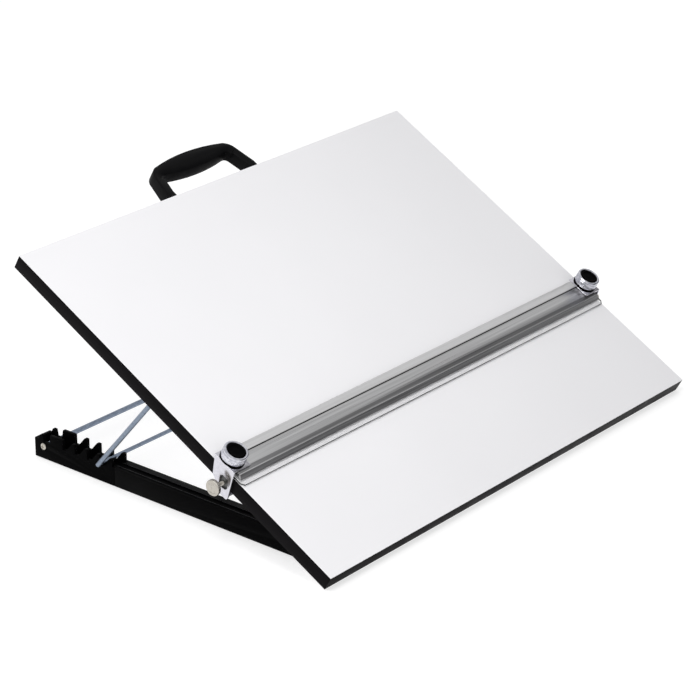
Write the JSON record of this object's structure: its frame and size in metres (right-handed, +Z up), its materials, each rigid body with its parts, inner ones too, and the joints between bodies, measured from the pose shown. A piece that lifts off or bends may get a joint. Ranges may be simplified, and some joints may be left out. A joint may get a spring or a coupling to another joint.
{
  "type": "portable drawing board",
  "caption": "White tilting drawing board on folding toothed rails with a wire prop, cable-guided parallel bar with clear ruling edge, brake knobs and a carrying handle.",
  "frame": {"origin": "on the table, under the middle of the whole object's box", "axes": "+Z up, +Y from the low front edge to the raised back edge, +X to the user's right along the parallel bar"},
  "size_m": [0.6984, 0.51, 0.282],
  "materials": {
    "white_laminate": "satin white melamine",
    "black_edging": "satin black edge band",
    "board_core": "raw particle board",
    "black_plastic": "moulded black, satin",
    "rubber": "matt",
    "zinc": "bright zinc plate with a blue cast",
    "steel": "plain bright steel",
    "black_steel": "black enamel",
    "chrome": "polished",
    "nickel": "satin nickel plate",
    "aluminium": "extruded, clear anodised",
    "clear_acrylic": "polished clear",
    "white_nylon": "moulded, matt"
  },
  "bodies": {
    "stand": {"spreader_rod": "zinc", "rail_left": "black_plastic", "rack_left": "black_plastic", "rail_end_screw_left": "nickel", "foot_pad_front_left": "rubber", "foot_pad_back_left": "rubber", "rail_right": "black_plastic", "rack_right": "black_plastic", "rail_end_screw_right": "nickel", "foot_pad_front_right": "rubber", "foot_pad_back_right": "rubber"},
    "board": {"board_core": "board_core", "top_laminate": "white_laminate", "bottom_laminate": "white_laminate", "edge_band_front": "black_edging", "edge_band_back": "black_edging", "edge_band_left": "black_edging", "edge_band_right": "black_edging", "carry_handle": "black_plastic", "guide_cable": "steel", "cable_spring": "steel", "handle_screw_left": "steel", "hinge_bracket_left": "black_steel", "hinge_pin_left": "steel", "prop_clip_left": "black_plastic", "pulley_screw_front_left": "steel", "pulley_screw_back_left": "steel", "handle_screw_right": "steel", "hinge_bracket_right": "black_steel", "hinge_pin_right": "steel", "prop_clip_right": "black_plastic", "pulley_screw_front_right": "steel", "pulley_screw_back_right": "steel"},
    "prop": {"prop_crossbar": "zinc", "prop_arm_left": "zinc", "prop_arm_right": "zinc"},
    "bar": {"parallel_bar": "aluminium", "clear_edge": "clear_acrylic", "end_bracket_left": "chrome", "nut_plate_left": "steel", "cable_clamp_left": "steel", "knob_washer_left": "black_plastic", "end_bracket_right": "chrome", "nut_plate_right": "steel", "cable_clamp_right": "steel", "knob_washer_right": "black_plastic"},
    "brake_knob_left": {"knob_body_left": "chrome", "knob_insert_left": "black_plastic", "knob_stud_left": "steel"},
    "side_screw_left": {"thumb_screw_left": "nickel"},
    "guide_pulley_front_left": {"pulley_front_left": "white_nylon"},
    "guide_pulley_back_left": {"pulley_back_left": "white_nylon"},
    "brake_knob_right": {"knob_body_right": "chrome", "knob_insert_right": "black_plastic", "knob_stud_right": "steel"},
    "side_screw_right": {"thumb_screw_right": "nickel"},
    "guide_pulley_front_right": {"pulley_front_right": "white_nylon"},
    "guide_pulley_back_right": {"pulley_back_right": "white_nylon"}
  },
  "joints": [
    {"name": "board_tilt", "type": "hinge", "parent": "stand", "child": "board", "pos_m": [0, -0.18121, 0.012], "axis": [1, 0, 0], "range_deg": [0, 16]},
    {"name": "prop_swing", "type": "hinge", "parent": "board", "child": "prop", "pos_m": [0, 0.01401, 0.13503], "axis": [1, 0, 0], "range_deg": [0, 78]},
    {"name": "bar_slide", "type": "slide", "parent": "board", "child": "bar", "axis": [0, 0.8746, 0.4848], "range_m": [-0.11, 0.3]},
    {"name": "brake_knob_turn_left", "type": "hinge", "parent": "bar", "child": "brake_knob_left", "pos_m": [-0.3219, -0.11687, 0.11473], "axis": [0, -0.4848, 0.8746], "range_deg": [0, 270]},
    {"name": "side_screw_turn_left", "type": "hinge", "parent": "bar", "child": "side_screw_left", "pos_m": [-0.34, -0.10782, 0.08087], "axis": [-1, 0, 0], "range_deg": [0, 360]},
    {"name": "pulley_spin_front_left", "type": "hinge", "parent": "board", "child": "guide_pulley_front_left", "pos_m": [-0.3092, -0.226, 0.00736], "axis": [0, -0.4848, 0.8746], "range_deg": [-1900, 700]},
    {"name": "pulley_spin_back_left", "type": "hinge", "parent": "board", "child": "guide_pulley_back_left", "pos_m": [-0.3092, 0.18157, 0.23328], "axis": [0, -0.4848, 0.8746], "range_deg": [-1900, 700]},
    {"name": "brake_knob_turn_right", "type": "hinge", "parent": "bar", "child": "brake_knob_right", "pos_m": [0.3219, -0.11687, 0.11473], "axis": [0, -0.4848, 0.8746], "range_deg": [0, 270]},
    {"name": "side_screw_turn_right", "type": "hinge", "parent": "bar", "child": "side_screw_right", "pos_m": [0.34, -0.10782, 0.08087], "axis": [1, 0, 0], "range_deg": [0, 360]},
    {"name": "pulley_spin_front_right", "type": "hinge", "parent": "board", "child": "guide_pulley_front_right", "pos_m": [0.3092, -0.226, 0.00736], "axis": [0, -0.4848, 0.8746], "range_deg": [-700, 1900]},
    {"name": "pulley_spin_back_right", "type": "hinge", "parent": "board", "child": "guide_pulley_back_right", "pos_m": [0.3092, 0.18157, 0.23328], "axis": [0, -0.4848, 0.8746], "range_deg": [-700, 1900]}
  ],
  "couplings": [
    {"joint": "pulley_spin_front_left", "follows": "bar_slide", "rad_per_m": -109.89},
    {"joint": "pulley_spin_back_left", "follows": "bar_slide", "rad_per_m": -109.89},
    {"joint": "pulley_spin_front_right", "follows": "bar_slide", "rad_per_m": 109.89},
    {"joint": "pulley_spin_back_right", "follows": "bar_slide", "rad_per_m": 109.89}
  ]
}
